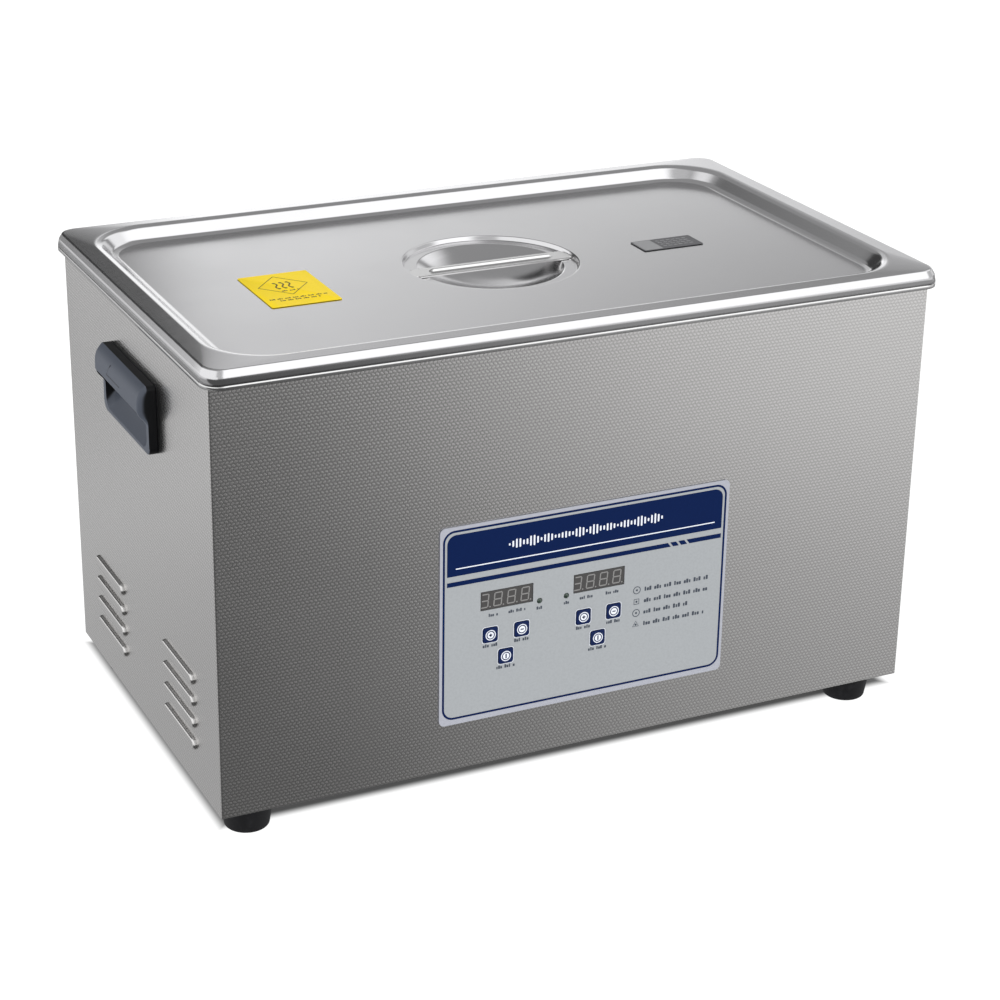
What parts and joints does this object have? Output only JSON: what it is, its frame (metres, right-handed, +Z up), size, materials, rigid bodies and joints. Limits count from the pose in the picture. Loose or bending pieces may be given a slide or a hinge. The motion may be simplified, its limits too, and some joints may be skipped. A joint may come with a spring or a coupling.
{
  "type": "ultrasonic cleaner",
  "caption": "Bench-top ultrasonic cleaner: a steel case with a heated tank, lift-off recessed lid, control panel, end handles and a drain tap.",
  "frame": {"origin": "on the bench, under the middle of the whole cleaner with its drain tap", "axes": "+X along the length towards the drain tap, +Y from the control panel towards the back, +Z up"},
  "size_m": [0.5914, 0.325, 0.334],
  "materials": {
    "casing_steel": "stainless sheet with a fine embossed grain",
    "bright_steel": "satin stainless sheet",
    "lid_steel": "satin stainless, bright where it is pressed",
    "screw_steel": "plated steel",
    "foot_rubber": "dull black rubber",
    "slate_plastic": "fine grained slate grey",
    "black_plastic": "satin black",
    "red_plastic": "glossy red",
    "blue_plastic": "dipped blue grip",
    "panel_film": "satin printed film",
    "key_blue": "satin navy",
    "display_glass": "smoked window over grey digits",
    "led_lens": "tinted lens",
    "label_yellow": "printed yellow film",
    "label_grey": "printed grey foil",
    "board_green": "solder resist",
    "copper_winding": "varnished copper wire",
    "aluminium": "bare aluminium",
    "heater_silicone": "orange silicone",
    "plated_brass": "nickel plated brass"
  },
  "bodies": {
    "housing": {"casing": "casing_steel", "bottom_cover": "bright_steel", "tank": "bright_steel", "drain_strainer": "bright_steel", "drain_pipe": "bright_steel", "foot_front_left": "foot_rubber", "foot_front_right": "foot_rubber", "foot_back_left": "foot_rubber", "foot_back_right": "foot_rubber", "foot_screw_front_left": "screw_steel", "foot_screw_front_right": "screw_steel", "foot_screw_back_left": "screw_steel", "foot_screw_back_right": "screw_steel", "board_standoff_lower_left": "screw_steel", "board_standoff_lower_right": "screw_steel", "board_standoff_upper_left": "screw_steel", "board_standoff_upper_right": "screw_steel", "temperature_sensor": "screw_steel", "fan_guard": "screw_steel", "handle_left": "slate_plastic", "handle_right": "slate_plastic", "panel_overlay": "panel_film", "temperature_display": "display_glass", "time_display": "display_glass", "heater_led": "led_lens", "timer_led": "led_lens", "control_board": "board_green", "generator_board": "board_green", "transformer": "copper_winding", "smoothing_capacitor": "black_plastic", "fan_frame": "black_plastic", "mains_inlet": "black_plastic", "power_switch_frame": "black_plastic", "heat_sink": "aluminium", "transducer_1": "aluminium", "transducer_2": "aluminium", "transducer_3": "aluminium", "transducer_4": "aluminium", "transducer_5": "aluminium", "transducer_6": "aluminium", "transducer_7": "aluminium", "transducer_8": "aluminium", "heating_pad_left": "heater_silicone", "heating_pad_right": "heater_silicone", "drain_tap_body": "plated_brass", "drain_tap_nozzle": "plated_brass"},
    "lid": {"lid_pan": "lid_steel", "lid_grip": "lid_steel", "warning_label": "label_yellow", "rating_label": "label_grey"},
    "tap_stem": {"drain_tap_ball": "bright_steel", "drain_tap_lever": "blue_plastic"},
    "rocker": {"power_switch_rocker": "red_plastic"},
    "fan_wheel": {"fan_rotor": "black_plastic"},
    "temperature_up_key": {"temperature_up_key": "key_blue"},
    "temperature_down_key": {"temperature_down_key": "key_blue"},
    "heater_power_key": {"heater_power_key": "key_blue"},
    "time_up_key": {"time_up_key": "key_blue"},
    "time_down_key": {"time_down_key": "key_blue"},
    "timer_power_key": {"timer_power_key": "key_blue"}
  },
  "joints": [
    {"name": "lid_lift", "type": "slide", "parent": "housing", "child": "lid", "axis": [0, 0, 1], "range_m": [0, 0.25]},
    {"name": "tap_turn", "type": "hinge", "parent": "housing", "child": "tap_stem", "pos_m": [0.26165, 0, 0.062], "axis": [0, 0, 1], "range_deg": [0, 90]},
    {"name": "power_switch", "type": "hinge", "parent": "housing", "child": "rocker", "pos_m": [-0.21285, 0.1515, 0.095], "axis": [1, 0, 0], "range_deg": [0, 20]},
    {"name": "fan_spin", "type": "hinge", "parent": "housing", "child": "fan_wheel", "pos_m": [0.10715, 0.1405, 0.095], "axis": [0, 1, 0], "continuous": true},
    {"name": "temperature_up_press", "type": "slide", "parent": "housing", "child": "temperature_up_key", "axis": [0, 1, 0], "range_m": [0, 0.0005], "stiffness_N_per_m": 800},
    {"name": "temperature_down_press", "type": "slide", "parent": "housing", "child": "temperature_down_key", "axis": [0, 1, 0], "range_m": [0, 0.0005], "stiffness_N_per_m": 800},
    {"name": "heater_power_press", "type": "slide", "parent": "housing", "child": "heater_power_key", "axis": [0, 1, 0], "range_m": [0, 0.0005], "stiffness_N_per_m": 800},
    {"name": "time_up_press", "type": "slide", "parent": "housing", "child": "time_up_key", "axis": [0, 1, 0], "range_m": [0, 0.0005], "stiffness_N_per_m": 800},
    {"name": "time_down_press", "type": "slide", "parent": "housing", "child": "time_down_key", "axis": [0, 1, 0], "range_m": [0, 0.0005], "stiffness_N_per_m": 800},
    {"name": "timer_power_press", "type": "slide", "parent": "housing", "child": "timer_power_key", "axis": [0, 1, 0], "range_m": [0, 0.0005], "stiffness_N_per_m": 800}
  ]
}
